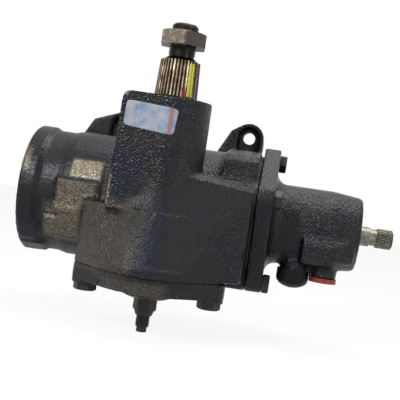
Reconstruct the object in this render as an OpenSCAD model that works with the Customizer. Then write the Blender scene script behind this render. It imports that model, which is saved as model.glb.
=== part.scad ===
// Power steering gearbox of the recirculating-ball kind: a cast housing with a rack piston on a ball worm,
// a sector shaft that turns the steering arm, and a rotary valve round the input shaft.
// X runs along the worm towards the input shaft, Y points at the vehicle's frame rail,
// and Z runs up the sector shaft.
// The origin is on the sector shaft's axis, level with the top face of the housing.

/* [Layout] */
// Distance between the sector shaft's axis and the worm's axis
centre_distance = 70; // [69:0.5:71]
// Height of the housing's top face above the worm's axis
face_height = 100; // [98:1:105]
// Distance from the sector shaft's axis to the rim at the closed end
rim_x = 138; // [136:1:142]
// Distance from the sector shaft's axis to the valve housing's joint
joint_x = 87; // [86.5:0.5:89]
// Distance from the worm's axis to the face that lies on the frame rail
rail_face = 62; // [61:0.5:66]

/* [Main housing] */
// Radius of the piston's bore
bore_r = 46; // [45.75:0.25:46.5]
// Wall of the barrel round the bore
barrel_wall = 13.5; // [12.5:0.5:14]
// Step of the end rim above the barrel
rim_step = 2.7; // [2:0.1:4]
// Length of the end rim
rim_len = 16; // [12:1:20]
// Distance from the sector shaft's axis to the start of the thicker barrel
collar_x = 94; // [90:1:98]
// Step of the thicker barrel above the rest
collar_step = 2.2; // [1.5:0.1:3]
// Radius of the round boss that holds the sector shaft
boss_r = 34.5; // [33.5:0.5:36]
// Distance from the sector shaft to the flat left side of the boss
boss_left = 42; // [40:1:46]
// Wall of the round sector chamber
chamber_wall = 9; // [8:0.5:10]
// Depth of the cover's joint below the worm's axis
cover_joint = 60; // [59:0.5:63]

/* [Frame bolt holes] */
// Radius of the frame bolt holes
frame_hole_r = 6.5; // [6:0.25:7]
// Place of the right pair of holes along the worm
right_hole_x = 67.5; // [66:0.5:69]
// Place of the left pair of holes along the worm
left_hole_x = -66; // [-68:0.5:-64]
// Height of the right ear's hole above the worm's axis
right_hole_up = 81.5; // [80:0.5:84]
// Height of the left ear's hole above the worm's axis
left_hole_up = 75; // [73:0.5:77]
// Depth of the lower tapped holes below the worm's axis
lower_hole_down = 45; // [43:0.5:46]
// Thickness of the ears
ear_t = 20; // [16:1:22]

/* [Valve housing] */
// Radius of the circle of flange bolts
flange_bolt_circle = 63; // [62:0.5:64]
// Turn of the flange bolts from level
flange_bolt_turn = 69; // [66:1:71]
// Thickness of the valve housing's flange
flange_t = 16; // [14:1:18]
// Radius of the valve housing's round body
valve_r = 39; // [38:0.5:41]
// Distance from the sector shaft's axis to the valve housing's end face
valve_end_x = 188.5; // [187:0.5:192]
// Place of the return port along the worm
return_port_x = 131; // [130:0.5:132]
// Place of the pressure port along the worm
pressure_port_x = 160; // [159:0.5:162]

/* [Sector cover] */
// Distance from the sector shaft's axis to each cover bolt
cover_bolt_x = 58; // [57:0.5:60]
// Thickness of the cover's plate
cover_t = 15.5; // [14:0.5:17]
// Height of the domed boss under the cover
cover_dome_h = 8.5; // [7:0.5:10]

/* [Rack and sector] */
// Module of the rack teeth and sector teeth
tooth_module = 6.4; // [6.3:0.05:6.5]
// Pressure angle of the teeth
pressure_angle = 25; // [24:0.5:26]
// Gap at each flank of a tooth
flank_gap = 0.25; // [0.15:0.05:0.35]
// Width of the sector's teeth
sector_face = 48; // [44:1:50]

/* [Sector shaft] */
// Radius of the sector shaft's upper journal
journal_r = 20.6; // [20.4:0.1:20.8]
// Radius of the steering arm's serrations at their thick end
serration_big_r = 19.8; // [19.4:0.1:20]
// Radius of the serrations at their thin end
serration_small_r = 18.3; // [18:0.1:18.6]
// Number of serrations on the steering arm's taper
serration_count = 36; // [32:4:40]
// Width of the steering arm's nut across its flats
nut_flats = 40; // [38:1:41]
// Radius of the stud at the middle of its thread
stud_r = 11.6; // [11.2:0.1:12]

/* [Worm and piston] */
// Travel of the piston in one turn of the worm
worm_lead = 15; // [14.5:0.5:15]
// Radius of the circle on which the ball centres run
ball_circle = 15; // [14.8:0.1:15.2]
// Radius of the recirculating balls
ball_r = 3.4; // [3.3:0.05:3.45]
// Turns of the worm to each side of straight ahead
worm_turns = 2; // [1.8:0.1:2]
// Running gap of the piston in its bore
piston_gap = 0.1; // [0.05:0.01:0.1]

/* [Input shaft] */
// Radius of the input shaft's serrated end
input_r = 9.5; // [9.4:0.1:9.8]
// Number of serrations on the input shaft
input_serrations = 36; // [30:2:40]
// Length of the input shaft outside the valve housing
input_reach = 33.5; // [31:0.5:38]
// Running gap of the shafts and the valve
running_gap = 0.05; // [0.04:0.01:0.08]

/* [Hidden] */
$fn = 64;

// Colours of the pieces
paint = "#2e2f33";
steel = "#8d8a80";
bright_steel = "#b4b4b0";
rubber = "#1b1b1c";
bronze = "#a98a52";

// Axes and main levels
worm_y = centre_distance;
worm_z = -face_height;
rail_y = worm_y + rail_face;
barrel_r = bore_r + barrel_wall;
rim_r = barrel_r + rim_step;
collar_slope = 10;
over = 1;

// Rack and sector teeth: the sector is cut from a gear of twelve teeth and keeps three
gear_teeth = 12;
kept_teeth = 3;
pitch_r = gear_teeth * tooth_module / 2;
tooth_pitch = PI * tooth_module;
base_r = pitch_r * cos(pressure_angle);
sector_tip_r = pitch_r + 0.875 * tooth_module;
rack_tip = 0.8 * tooth_module;
sector_root_r = pitch_r - rack_tip - 1;
rack_line = centre_distance - pitch_r;
rack_root_v = rack_line - 0.875 * tooth_module - 1.2;
rack_half_len = 46;
hub_r = 22;

// Sector chamber, its cover and the shaft's boss
chamber_r = sector_tip_r + 2.5;
chamber_out_r = chamber_r + chamber_wall;
chamber_top = sector_face / 2 + 2;
chamber_roof = chamber_top + 6;
sweep_r = sector_tip_r + 0.8;
hub_clear_r = hub_r + 5;
chamber_shoulder = -3;
neck_level = 23;
band_top = 32 - cover_joint;
cover_lug_r = 13;
joint_band = 8;
panel_boss = 33;
panel_front = 26;
panel_back = 36;
panel_slope = 17;
block_low = 2 - cover_joint;
cover_bolt_r = 5.9;
cover_hole_r = 6;
cover_pass_r = 6.6;
cover_washer_r = 12.6;
cover_head_flats = 19;
cover_spigot = 10;
dome = [[1, 0], [0.93, 0.3], [0.84, 0.55], [0.7, 0.8], [0.5, 1]];
cover_ring_low = 2 - cover_joint;
bearing_bore_r = journal_r + 5.4;
boss_front = boss_r - 0.7;
boss_corner_r = 6;
bush_r = 23;
lower_journal_r = 20;
lower_journal_end = -cover_joint - 10;
screw_r = 6;
cover_floor = lower_journal_end - over;
dome_bottom = -cover_joint - cover_t - cover_dome_h;
socket_r = 9;
socket_top = lower_journal_end + 10;

// Seals in the boss, from the bearing up
needle_r = 1.92;
needle_count = 34;
needle_circle = journal_r + running_gap + needle_r;
bearing_low = chamber_top + 6;
bearing_high = face_height - 24;
seal_low = face_height - 20;
dust_low = face_height - 11;
ring_low = face_height - 5.5;
ring_slot = 2.5;
ring_t = 2.2;
ring_slot_depth = 1.8;

// Top of the sector shaft
serration_low = 2;
serration_high = 35;
cone_top = 38.5;
stud_top = 69;
nut_low = 48.6;
nut_high = 61.3;

// Closed end of the bore
seat_r = bore_r + 2.5;
seat_x = -rim_x + 26;
plug_face_x = -rim_x + 9.5;
plug_dish_r = 30;
plug_dish = 4;
plug_ring_x = seat_x - 8;
end_ring_gap = 12;
oring_r = 1.6;
joint_ring_r = bore_r + 4.5;

// Piston: its ends leave room for the travel in both directions
travel = worm_lead * worm_turns;
piston_r = bore_r - piston_gap;
piston_left = -76;
piston_right = joint_x - travel - 7;
nut_left = 4;
nut_right = 46;
plug_x = -62;
plug_r = 20;
plug_socket = 13;
plug_socket_depth = 8;
clear_bore_r = 17;
groove_r = ball_r + 0.5;
worm_r = ball_circle - 0.5;
nut_land_r = ball_circle + 0.25;
guide_left = 10;
guide_right = guide_left + 2 * worm_lead;
guide_r = 4.6;
guide_line = bore_r - 12.6;
pocket_floor = guide_line - guide_r;
clamp_low = guide_line + guide_r;
clamp_t = 2;
clamp_half = 15;
clamp_mid = (guide_left + guide_right) / 2;
clamp_len = 14;
clamp_screw_y = 11.5;
ring_left = -66;
ring_right = -60;
ring_depth = 3;
helix_steps = 24;
slices_per_turn = 16;

// Worm shaft, its bearing and the rotary valve
worm_left = -30;
worm_thread_end = 80;
bearing_left = joint_x + 3;
bearing_right = joint_x + 15;
bearing_out_r = 31;
bearing_seat_r = 16;
bearing_ball_r = 4.3;
bearing_groove_r = 4.4;
bearing_circle = 23.5;
race_in_r = bearing_circle - 3.5;
race_out_r = bearing_circle + 3.5;
race_nut_r = bearing_circle + 1;
shoulder_r = 19;
hub_out_r = 15.8;
hub_right = joint_x + 26;
slot_r = 11;
slot_half = 7.2;
tang_half = 6.1;
tang_reach = 8.7;
bar_end_r = 5;
bar_mid_r = 4.2;
bar_left = 24;
bar_pin_x = 34;
pin_r = 1.5;
sleeve_left = joint_x + 17;
sleeve_right = valve_end_x - 26.5;
sleeve_r = 21.9;
valve_bore_r = sleeve_r + 0.3;
spool_r = 13;
spool_left = hub_right + 3;
spool_right = sleeve_right - 4;
ring_pitch = (sleeve_right - hub_right - 8.5) / 3;
ring_places = [for (i = [0:3]) hub_right + 5 + ring_pitch * i];
port_places = [for (i = [0:2]) hub_right + 5 + ring_pitch * (i + 0.5)];
end_bore_r = 16;
end_bore_x = sleeve_right + 4;
journal_x = end_bore_x - 0.5;
input_journal_r = 10.5;
input_bearing_right = end_bore_x + 9;
input_seal_left = input_bearing_right + 1;
input_seal_right = valve_end_x - 5.5;
input_ring_x = valve_end_x - 4.5;
input_tip_x = valve_end_x + input_reach;
groove_left = valve_end_x + 11;
groove_right = groove_left + 6.6;
groove_bottom_r = 8;

// Ports and flange
port_y = worm_y - 16;
return_boss_r = 13;
pressure_boss_r = 12.5;
return_low = -valve_r - 8;
pressure_low = -valve_r - 6;
port_r = 8;
port_top = 15 - valve_r;
seat_h = 4;
passage_r = 3.5;
flange_lugs = [14, 12.5, 9.5, 12.5];
flange_bolt_r = 4.9;
flange_hole_r = 5.2;
tapped_r = 5;
bolt_depth = 21;

// Points of an arc about c, from angle a0 to a1
function arc(c, r, a0, a1, n = 8) =
    [for (i = [0:n]) c + r * [cos(a0 + (a1 - a0) * i / n), sin(a0 + (a1 - a0) * i / n)]];

// Roll angle of the involute at a radius, in degrees
function involute(r) =
    let (a = acos(min(1, base_r / r))) tan(a) * 180 / PI - a;

// Half the angle of a sector tooth at a radius
function tooth_half(r) =
    90 / gear_teeth - flank_gap / pitch_r * 180 / PI + involute(pitch_r) - involute(max(r, base_r));

// Turn of the ball groove at a place along the worm
function helix_turn(x) = 360 * (x - guide_left) / worm_lead;

// Radius of the ball groove in a cross section, sinking into the worm or rising into the nut
function groove_radius(turn, land, side) =
    let (off = worm_lead * turn / 360, deep = groove_r * groove_r - off * off)
    deep <= 0 ? land : side * max(side * land, side * ball_circle + sqrt(deep));

// Frame of the worm: local x is Y, local y is Z and local z is X
module worm_frame() {
    translate([0, worm_y, worm_z]) rotate([90, 0, 90]) children();
}

module worm_rod(x0, x1, r) {
    worm_frame() translate([0, 0, x0]) cylinder(r = r, h = x1 - x0);
}

module worm_tube(x0, x1, r_out, r_in) {
    difference() {
        worm_rod(x0, x1, r_out);
        worm_rod(x0 - over, x1 + over, r_in);
    }
}

// Ring of round section about the worm's axis
module worm_oring(x, circle_r) {
    worm_frame() translate([0, 0, x]) rotate_extrude() translate([circle_r, 0]) circle(r = oring_r);
}

// Upright rod on the sector shaft's axis, between two levels counted from the worm's axis
module post(low, high, r) {
    translate([0, 0, worm_z + low]) cylinder(r = r, h = high - low);
}

module post_tube(low, high, r_out, r_in) {
    difference() {
        post(low, high, r_out);
        post(low - over, high + over, r_in);
    }
}

// Open retaining ring, cut from a flat washer
module split_ring(t, r_out, r_in, slot) {
    difference() {
        cylinder(r = r_out, h = t);
        translate([0, 0, -over]) cylinder(r = r_in, h = t + 2 * over);
        translate([0, -slot / 2, -over]) cube([r_out + over, slot, t + 2 * over]);
    }
}

// Hexagon with its top corners turned to a cone
module hexagon(flats, h, bevel) {
    corner_r = flats / 2 / cos(30);
    intersection() {
        cylinder(r = corner_r, h = h, $fn = 6);
        union() {
            cylinder(r = corner_r + over, h = h - bevel);
            translate([0, 0, h - bevel]) cylinder(r1 = corner_r, r2 = corner_r - 1.75 * bevel, h = bevel);
        }
    }
}

// Bolt that points down from z = 0, with its head above
module bolt(r, len, flats, head, washer_r, washer_t) {
    translate([0, 0, -len]) cylinder(r = r, h = len);
    cylinder(r = washer_r, h = washer_t);
    translate([0, 0, washer_t]) hexagon(flats, head - washer_t, 1);
}

// Rounded square of the joint's flange, in the worm's frame
module flange_outline() {
    rotate(flange_bolt_turn - 45)
        polygon([for (i = [0:3]) let (a = 45 + 90 * i)
            each arc(flange_bolt_circle * [cos(a), sin(a)], flange_lugs[i], 90 * i, 90 * i + 90)]);
}

// Outline of the cover and its joint: a round middle with a lug to each side
module cover_outline(middle_r) {
    lean = acos((middle_r - cover_lug_r) / cover_bolt_x);
    right = arc([cover_bolt_x, 0], cover_lug_r, -lean, lean, 12);
    front = arc([0, 0], middle_r, lean, 180 - lean, 16);
    polygon(concat(right, front, -right, -front));
}

// Flange bolts' places in the worm's frame
module at_flange_bolts() {
    for (i = [0:3])
        rotate(flange_bolt_turn + 90 * i) translate([flange_bolt_circle, 0, 0]) children();
}

// Flat cast pad on the barrel: its angle above the front, its ends, half its width and its rise
module barrel_pad(angle, x0, x1, half, rise) {
    worm_frame() rotate(180 - angle) translate([0, -half, x0]) cube([barrel_r + rise, 2 * half, x1 - x0]);
}

module barrel() {
    worm_rod(-rim_x + over, joint_x, barrel_r);
    worm_frame() translate([0, 0, -rim_x]) cylinder(r1 = rim_r - 2, r2 = rim_r, h = 2);
    worm_rod(-rim_x + 2, -rim_x + rim_len, rim_r);
    worm_rod(-collar_x, joint_x - 3, barrel_r + collar_step);
    worm_frame() translate([0, 0, -collar_x - collar_slope])
        cylinder(r1 = barrel_r - 0.5, r2 = barrel_r + collar_step, h = collar_slope);
    barrel_pad(24, -90, -60, 9.5, collar_step + 0.4);
    barrel_pad(-1, -100, -62, 14, collar_step + 1.6);
    barrel_pad(-33, -110, -60, 11, collar_step + 0.7);
    barrel_pad(-41, -rim_x + 3, -rim_x + 21, 10, rim_step + 0.6);
    barrel_pad(-66, -rim_x + 3, -rim_x + 26, 10, rim_step + 0.3);
}

// Boss of the sector shaft: round to the right, square to the left with a rounded top corner
module shaft_boss() {
    low = worm_z + chamber_shoulder - 2;
    corner = arc([-boss_left + boss_corner_r, -boss_corner_r], boss_corner_r, 90, 180);
    post(chamber_shoulder - 5, face_height, boss_r);
    translate([0, 20, 0]) rotate([90, 0, 0]) linear_extrude(20 + boss_front)
        polygon(concat([[5, low], [5, 0]], corner, [[-boss_left - 2.5, low]]));
}

// Everything behind the sector shaft's axis, from below the cover's joint up
module rear_half() {
    translate([-chamber_out_r, 0, worm_z - cover_joint - over])
        cube([2 * chamber_out_r, worm_y, face_height]);
}

// Round chamber of the sector, with its joint for the cover and the block that reaches to the valve housing
module sector_chamber() {
    wing_h = cover_joint + chamber_shoulder;
    cone_h = cover_joint + neck_level;
    lean = (chamber_out_r - boss_r + 1) / cone_h;
    translate([0, 0, worm_z - cover_joint]) cylinder(r1 = chamber_out_r, r2 = boss_r - 1, h = cone_h);
    intersection() {
        post(-cover_joint + over, chamber_roof, chamber_out_r - 0.2);
        rear_half();
    }
    translate([0, 0, worm_z - cover_joint]) linear_extrude(joint_band) cover_outline(chamber_out_r - 0.5);
    hull() {
        translate([0, 0, worm_z - cover_joint])
            cylinder(r1 = chamber_out_r - 1, r2 = chamber_out_r - 1 - lean * wing_h, h = wing_h, $fn = 32);
        for (side = [-1, 1]) translate([side * cover_bolt_x, 0, worm_z - cover_joint])
            cylinder(r1 = cover_lug_r, r2 = cover_lug_r - 2, h = wing_h, $fn = 32);
    }
    hull() {
        translate([0, 0, worm_z + block_low])
            cylinder(r1 = chamber_out_r - 10, r2 = boss_r - 1.2, h = panel_boss - block_low, $fn = 48);
        translate([joint_x - 13, -3, worm_z + block_low]) cube([10, 60, panel_front - block_low]);
        translate([joint_x - 13, panel_slope - 3, worm_z + block_low]) cube([10, 60, panel_back - block_low]);
    }
    translate([0, 0, worm_z + block_low]) linear_extrude(band_top - block_low)
        polygon([[30, -34], [joint_x - 5, -6.5], [joint_x - 5, 50], [30, 50]]);
}

// End of the housing where the valve housing is bolted on
module joint_end() {
    worm_frame() translate([0, 0, joint_x - 13]) linear_extrude(13) intersection() {
        flange_outline();
        translate([-100, -152]) square([200, 200]);
    }
    worm_frame() translate([0, 0, joint_x - 29]) at_flange_bolts() cylinder(r = 8.8, h = 26);
    worm_frame() translate([0, 0, joint_x - 35]) linear_extrude(32)
        polygon([[-60, 20], [-60, 54], [-54, 60], [0, 66], [rail_face, 66], [rail_face, 20]]);
    worm_frame() translate([0, 0, joint_x - 29]) linear_extrude(26)
        polygon(concat([[-50, -30]], arc([-44, -60], 6, 180, 270, 4), [[0, -66], [0, -30]]));
}

// Outline of an ear about its hole: round on the right, a sloping shoulder and a foot on the left
module ear_outline(shoulder, foot) {
    ear_r = frame_hole_r + 8.8;
    polygon(concat([[ear_r, -42]], arc([0, 0], ear_r, 0, 120, 12), [shoulder, foot, [foot.x, -42]]));
}

// Right ear first, then the left one
module at_ears() {
    translate([right_hole_x, rail_y, worm_z + right_hole_up]) rotate([90, 0, 0]) children(0);
    translate([left_hole_x, rail_y, worm_z + left_hole_up]) rotate([90, 0, 0]) children($children - 1);
}

module at_lower_holes() {
    for (x = [left_hole_x, right_hole_x])
        translate([x, rail_y, worm_z - lower_hole_down]) rotate([90, 0, 0]) children();
}

module mounting_ears() {
    at_ears() {
        linear_extrude(ear_t) ear_outline([-19, 6], [-32, -20]);
        linear_extrude(ear_t) ear_outline([-31, 4], [-40, -12]);
    }
    at_lower_holes() cylinder(r = 16, h = rail_face - 25);
}

module frame_holes() {
    at_ears() translate([0, 0, -over]) cylinder(r = frame_hole_r, h = ear_t + 2 * over);
    at_ears() translate([0, 0, ear_t - 8]) cylinder(r = frame_hole_r + 5.5, h = 20);
    at_ears() translate([-frame_hole_r - 5.5, -15.5, ear_t - 8]) cube([2 * frame_hole_r + 11, 15.5, 20]);
    at_lower_holes() translate([0, 0, -over]) cylinder(r = frame_hole_r, h = 26);
}

module housing_bores() {
    worm_rod(seat_x - over, joint_x + over, bore_r);
    worm_rod(-rim_x - over, seat_x, seat_r);
    worm_rod(plug_face_x - ring_slot, plug_face_x, seat_r + 2.5);
    post(-cover_joint - over, -cover_joint + cover_spigot + 0.5, chamber_r);
    post(-cover_joint, chamber_top, hub_clear_r);
    intersection() {
        post(-cover_joint, chamber_top, sweep_r);
        rear_half();
    }
    post(chamber_top - over, face_height + over, bearing_bore_r);
    post(ring_low, ring_low + ring_slot, bearing_bore_r + ring_slot_depth);
    for (side = [-1, 1])
        translate([side * cover_bolt_x, 0, worm_z - cover_joint - over]) cylinder(r = cover_hole_r, h = 31);
    worm_frame() translate([0, 0, joint_x - bolt_depth - 2]) at_flange_bolts() cylinder(r = tapped_r, h = 40);
}

module main_housing() {
    color(paint) difference() {
        union() {
            barrel();
            shaft_boss();
            sector_chamber();
            joint_end();
            mounting_ears();
        }
        housing_bores();
        frame_holes();
    }
}

// Round body of the valve housing, with a hollow where it runs out into the flange
module valve_body() {
    fillet = 10;
    face_x = joint_x + flange_t;
    worm_frame() rotate_extrude() polygon(concat(
        [[0, face_x - 2], [valve_r + fillet, face_x - 2]],
        arc([valve_r + fillet, face_x + fillet], fillet, -90, -180),
        [[valve_r, valve_end_x - 28], [valve_r - 3, valve_end_x - 2.5], [valve_r - 5, valve_end_x],
         [0, valve_end_x]]));
}

// Block under the front of the valve housing that holds the two ports
module port_block() {
    left = return_port_x + 5;
    right = pressure_port_x + pressure_boss_r - 5;
    section = [[10, 6 - valve_r], [3 - valve_r, 6 - valve_r], [-valve_r - 6, 13 - valve_r],
        [-valve_r - 6, 25 - valve_r], [3 - valve_r, 38 - valve_r], [10, 38 - valve_r]];
    worm_frame() translate([0, 0, left]) linear_extrude(right - left) polygon(section);
    worm_frame() hull() {
        translate([0, 0, right - over]) linear_extrude(over) offset(delta = -0.3) polygon(section);
        translate([0, 0, valve_end_x - 5]) linear_extrude(over)
            polygon([[10, 12 - valve_r], [6 - valve_r, 12 - valve_r], [3 - valve_r, 18 - valve_r],
                [3 - valve_r, 36 - valve_r], [10, 36 - valve_r]]);
    }
}

module at_ports() {
    translate([return_port_x, port_y, worm_z]) children(0);
    translate([pressure_port_x, port_y, worm_z]) children(1);
}

module valve_bores() {
    worm_rod(joint_x - over, bearing_right, bearing_out_r);
    worm_rod(bearing_right - over, end_bore_x, valve_bore_r);
    worm_rod(end_bore_x - over, valve_end_x + over, end_bore_r);
    worm_rod(input_ring_x, input_ring_x + 2, end_bore_r + 1.3);
    worm_tube(joint_x - over, joint_x + 2 * oring_r, joint_ring_r + 2.1, joint_ring_r - 2.1);
    worm_frame() translate([0, 0, joint_x - over]) at_flange_bolts() cylinder(r = flange_hole_r, h = 30);
    at_ports() {
        translate([0, 0, return_low - over]) cylinder(r = port_r, h = port_top - return_low + over);
        translate([0, 0, pressure_low - over]) cylinder(r = port_r, h = port_top - pressure_low + over);
    }
    at_ports() {
        translate([0, 0, port_top - over]) cylinder(r = passage_r, h = 14);
        translate([0, 0, port_top - over]) cylinder(r = passage_r, h = 14);
    }
}

module valve_housing() {
    color(paint) difference() {
        union() {
            valve_body();
            worm_frame() translate([0, 0, joint_x]) linear_extrude(flange_t) flange_outline();
            port_block();
            at_ports() {
                translate([0, 0, return_low]) cylinder(r = return_boss_r, h = 35);
                translate([0, 0, pressure_low]) cylinder(r = pressure_boss_r, h = 35);
            }
        }
        valve_bores();
    }
}

module sector_cover() {
    plate_low = -cover_joint - cover_t;
    rim_t = 3;
    dome_r = 28;
    color(paint) difference() {
        union() {
            translate([0, 0, worm_z - cover_joint - rim_t]) linear_extrude(rim_t)
                cover_outline(chamber_out_r - 0.5);
            translate([0, 0, worm_z + plate_low]) linear_extrude(cover_t) cover_outline(chamber_out_r - 4);
            translate([0, 0, worm_z + plate_low]) rotate_extrude() polygon(concat(
                [[0, over], [dome_r, over]],
                [for (at = dome) [at[0] * dome_r, -at[1] * cover_dome_h]],
                [[0, -cover_dome_h]]));
            post(-cover_joint - over, -cover_joint + cover_spigot, chamber_r);
            post(-cover_joint, -sector_face / 2 - 4, hub_clear_r - 0.5);
        }
        post(cover_floor, -sector_face / 2, bush_r);
        post(dome_bottom - over, cover_floor + over, screw_r);
        post_tube(cover_ring_low, cover_ring_low + 2 * oring_r, chamber_r + over, chamber_r - 2 * oring_r);
        for (side = [-1, 1]) translate([side * cover_bolt_x, 0, worm_z + plate_low - over])
            cylinder(r = cover_pass_r, h = cover_t + 5);
    }
}

module sector_cover_oring() {
    color(rubber) translate([0, 0, worm_z + cover_ring_low + oring_r])
        rotate_extrude() translate([chamber_r - oring_r, 0]) circle(r = oring_r);
}

module sector_cover_bolts() {
    color("#222327") for (side = [-1, 1])
        translate([side * cover_bolt_x, 0, worm_z - cover_joint - cover_t]) rotate([180, 0, 0])
            bolt(cover_bolt_r, cover_t + 27, cover_head_flats, 9.5, cover_washer_r, 2.5);
}

module valve_housing_bolts() {
    color("#26272b") worm_frame() translate([0, 0, joint_x + flange_t]) at_flange_bolts()
        bolt(flange_bolt_r, flange_t + bolt_depth, 16, 7, 8.4, 0.8);
}

module valve_housing_oring() {
    color(rubber) worm_oring(joint_x + oring_r, joint_ring_r);
}

module adjuster_locknut() {
    color("#3a3835") translate([0, 0, worm_z + dome_bottom]) rotate([180, 0, 0]) difference() {
        union() {
            hexagon(19, 11, 1);
            translate([0, 0, 11]) cylinder(r1 = 9.4, r2 = 7.6, h = 4.5);
        }
        translate([0, 0, -over]) cylinder(r = screw_r, h = 20);
    }
}

module lash_adjuster() {
    low = dome_bottom - 26;
    color("#3f3d39") difference() {
        union() {
            post(low, socket_top - 4, screw_r);
            post(low - 5, low + over, screw_r - 1.2);
            post(socket_top - 4.2, socket_top - 0.3, socket_r - 0.3);
        }
        translate([-10, -0.9, worm_z + low - 6]) cube([20, 1.8, 4]);
    }
}

module adjuster_retainer() {
    color(bright_steel) post_tube(lower_journal_end + 0.5, socket_top - 4.5, socket_r, screw_r + 0.3);
}

module end_plug() {
    color("#3c3c3e") difference() {
        worm_rod(plug_face_x, seat_x, seat_r);
        worm_tube(plug_ring_x, plug_ring_x + 2 * oring_r, seat_r + over, seat_r - 2 * oring_r);
        worm_rod(plug_face_x - over, plug_face_x + plug_dish, plug_dish_r);
    }
}

module end_plug_oring() {
    color(rubber) worm_oring(plug_ring_x + oring_r, seat_r - oring_r);
}

module end_plug_ring() {
    color(steel) worm_frame() translate([0, 0, plug_face_x - ring_t]) rotate(30)
        split_ring(ring_t, seat_r + 2.3, seat_r - 3.5, end_ring_gap);
}

module sector_bearing_cup() {
    color(steel) post_tube(bearing_low, bearing_high, bearing_bore_r, needle_circle + needle_r);
}

module sector_bearing_needles() {
    color(bright_steel) for (i = [1:needle_count])
        rotate(360 / needle_count * i) translate([needle_circle, 0, worm_z + bearing_low + 2])
            cylinder(r = needle_r, h = bearing_high - bearing_low - 4, $fn = 24);
}

module sector_shaft_seal() {
    color(rubber) post_tube(seal_low, dust_low - 1, bearing_bore_r, journal_r + running_gap);
}

module sector_dust_seal() {
    color(rubber) post_tube(dust_low, ring_low, bearing_bore_r, journal_r + running_gap);
}

module sector_seal_ring() {
    color(steel) translate([0, 0, worm_z + ring_low]) rotate(-60)
        split_ring(ring_t, bearing_bore_r + ring_slot_depth - 0.2, bearing_bore_r - 3.5, 10);
}

module sector_cover_bush() {
    color(bronze) post_tube(cover_floor, -sector_face / 2 - 4, bush_r, lower_journal_r + running_gap);
}

// Sector tooth outline about the gear's centre, with its middle on local x
module sector_tooth() {
    steps = 6;
    flank = [for (i = [0:steps]) let (r = base_r + (sector_tip_r - base_r) * i / steps, a = tooth_half(r))
        r * [cos(a), sin(a)]];
    foot = tooth_half(base_r);
    polygon(concat([[0, 0], sector_root_r * [cos(foot), -sin(foot)]], [for (p = flank) [p.x, -p.y]],
        [for (i = [steps:-1:0]) flank[i]], [sector_root_r * [cos(foot), sin(foot)]]));
}

// Three teeth on a fan of the root circle, facing the rack
module sector_gear() {
    half = (kept_teeth - 0.2) / 2 * 360 / gear_teeth;
    translate([0, 0, worm_z - sector_face / 2]) rotate(90) linear_extrude(sector_face) union() {
        polygon(concat([[0, 0]], arc([0, 0], sector_root_r, -half, half, 20)));
        for (i = [-1:1]) rotate(i * 360 / gear_teeth) sector_tooth();
    }
}

// Serrated outline: a ring of straight-sided teeth
module serrations(r, depth, count) {
    polygon([for (i = [0:count - 1], k = [0:3]) let (a = 360 / count * (i + [0, 0.18, 0.5, 0.68][k]))
        (k < 2 ? r : r - depth) * [cos(a), sin(a)]]);
}

module sector_shaft() {
    color(steel) difference() {
        union() {
            sector_gear();
            post(-sector_face / 2, sector_face / 2, hub_r);
            post(lower_journal_end, -sector_face / 2 + over, lower_journal_r);
            post(sector_face / 2 - over, face_height - 0.5, journal_r);
            post(face_height - over, face_height + serration_low + 0.5, serration_big_r - 1);
            translate([0, 0, serration_low])
                linear_extrude(serration_high - serration_low, scale = serration_small_r / serration_big_r)
                    serrations(serration_big_r, 0.9, serration_count);
            translate([0, 0, serration_high - 0.1])
                cylinder(r1 = serration_small_r - 1, r2 = stud_r + 1, h = cone_top - serration_high);
            translate([0, 0, cone_top - over]) cylinder(r = stud_r, h = stud_top - 1.5 - cone_top + over);
            translate([0, 0, stud_top - 1.5]) cylinder(r1 = stud_r, r2 = stud_r - 1.5, h = 1.5);
        }
        post(lower_journal_end - over, socket_top, socket_r);
    }
}

module pitman_nut() {
    color("#6b6255") translate([0, 0, nut_low]) rotate(37) difference() {
        hexagon(nut_flats, nut_high - nut_low, 1.6);
        translate([0, 0, -over]) cylinder(r = stud_r, h = 20);
    }
}

// Screw-shaped solid between two places on the worm, with one ball groove
module ball_screw(x0, x1, land, side) {
    turns = (x1 - x0) / worm_lead;
    worm_frame() translate([0, 0, x0]) rotate(helix_turn(x0))
        linear_extrude(x1 - x0, twist = -360 * turns, slices = round(turns * slices_per_turn),
            $fn = helix_steps)
            polygon([for (i = [0:helix_steps - 1])
                let (t = -180 + 360 * i / helix_steps) groove_radius(t, land, side) * [cos(t), sin(t)]]);
}

// Rack cut on the sector's side of the piston: a flat that leaves the teeth standing
module rack_cut() {
    lean = tan(pressure_angle);
    half = tooth_pitch / 4;
    translate([0, worm_y, worm_z - bore_r]) linear_extrude(2 * bore_r) difference() {
        translate([-rack_half_len, -bore_r - over]) square([2 * rack_half_len, bore_r + over - rack_root_v]);
        for (i = [-2:1]) translate([(i + 0.5) * tooth_pitch, -rack_line])
            polygon([[-half + rack_tip * lean, -rack_tip], [half - rack_tip * lean, -rack_tip],
                [half + (rack_line - rack_root_v + 1) * lean, rack_line - rack_root_v + 1],
                [-half - (rack_line - rack_root_v + 1) * lean, rack_line - rack_root_v + 1]]);
    }
}

// Frame of the ball return: local z points away from the rack
module return_frame() {
    translate([0, worm_y, worm_z]) rotate([-90, 0, 0]) children();
}

module guide_pocket() {
    return_frame() {
        translate([guide_left - guide_r, -guide_r, pocket_floor])
            cube([guide_right - guide_left + 2 * guide_r, 2 * guide_r, bore_r]);
        translate([clamp_mid - clamp_len / 2, -clamp_half - 0.5, clamp_low])
            cube([clamp_len, 2 * clamp_half + 1, bore_r]);
        for (x = [guide_left, guide_right]) translate([x, 0, nut_land_r - 2])
            cylinder(r = guide_r, h = guide_line - nut_land_r + 2);
        for (y = [-1, 1]) translate([clamp_mid, y * clamp_screw_y, clamp_low - 9]) cylinder(r = 2, h = 12);
    }
}

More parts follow.
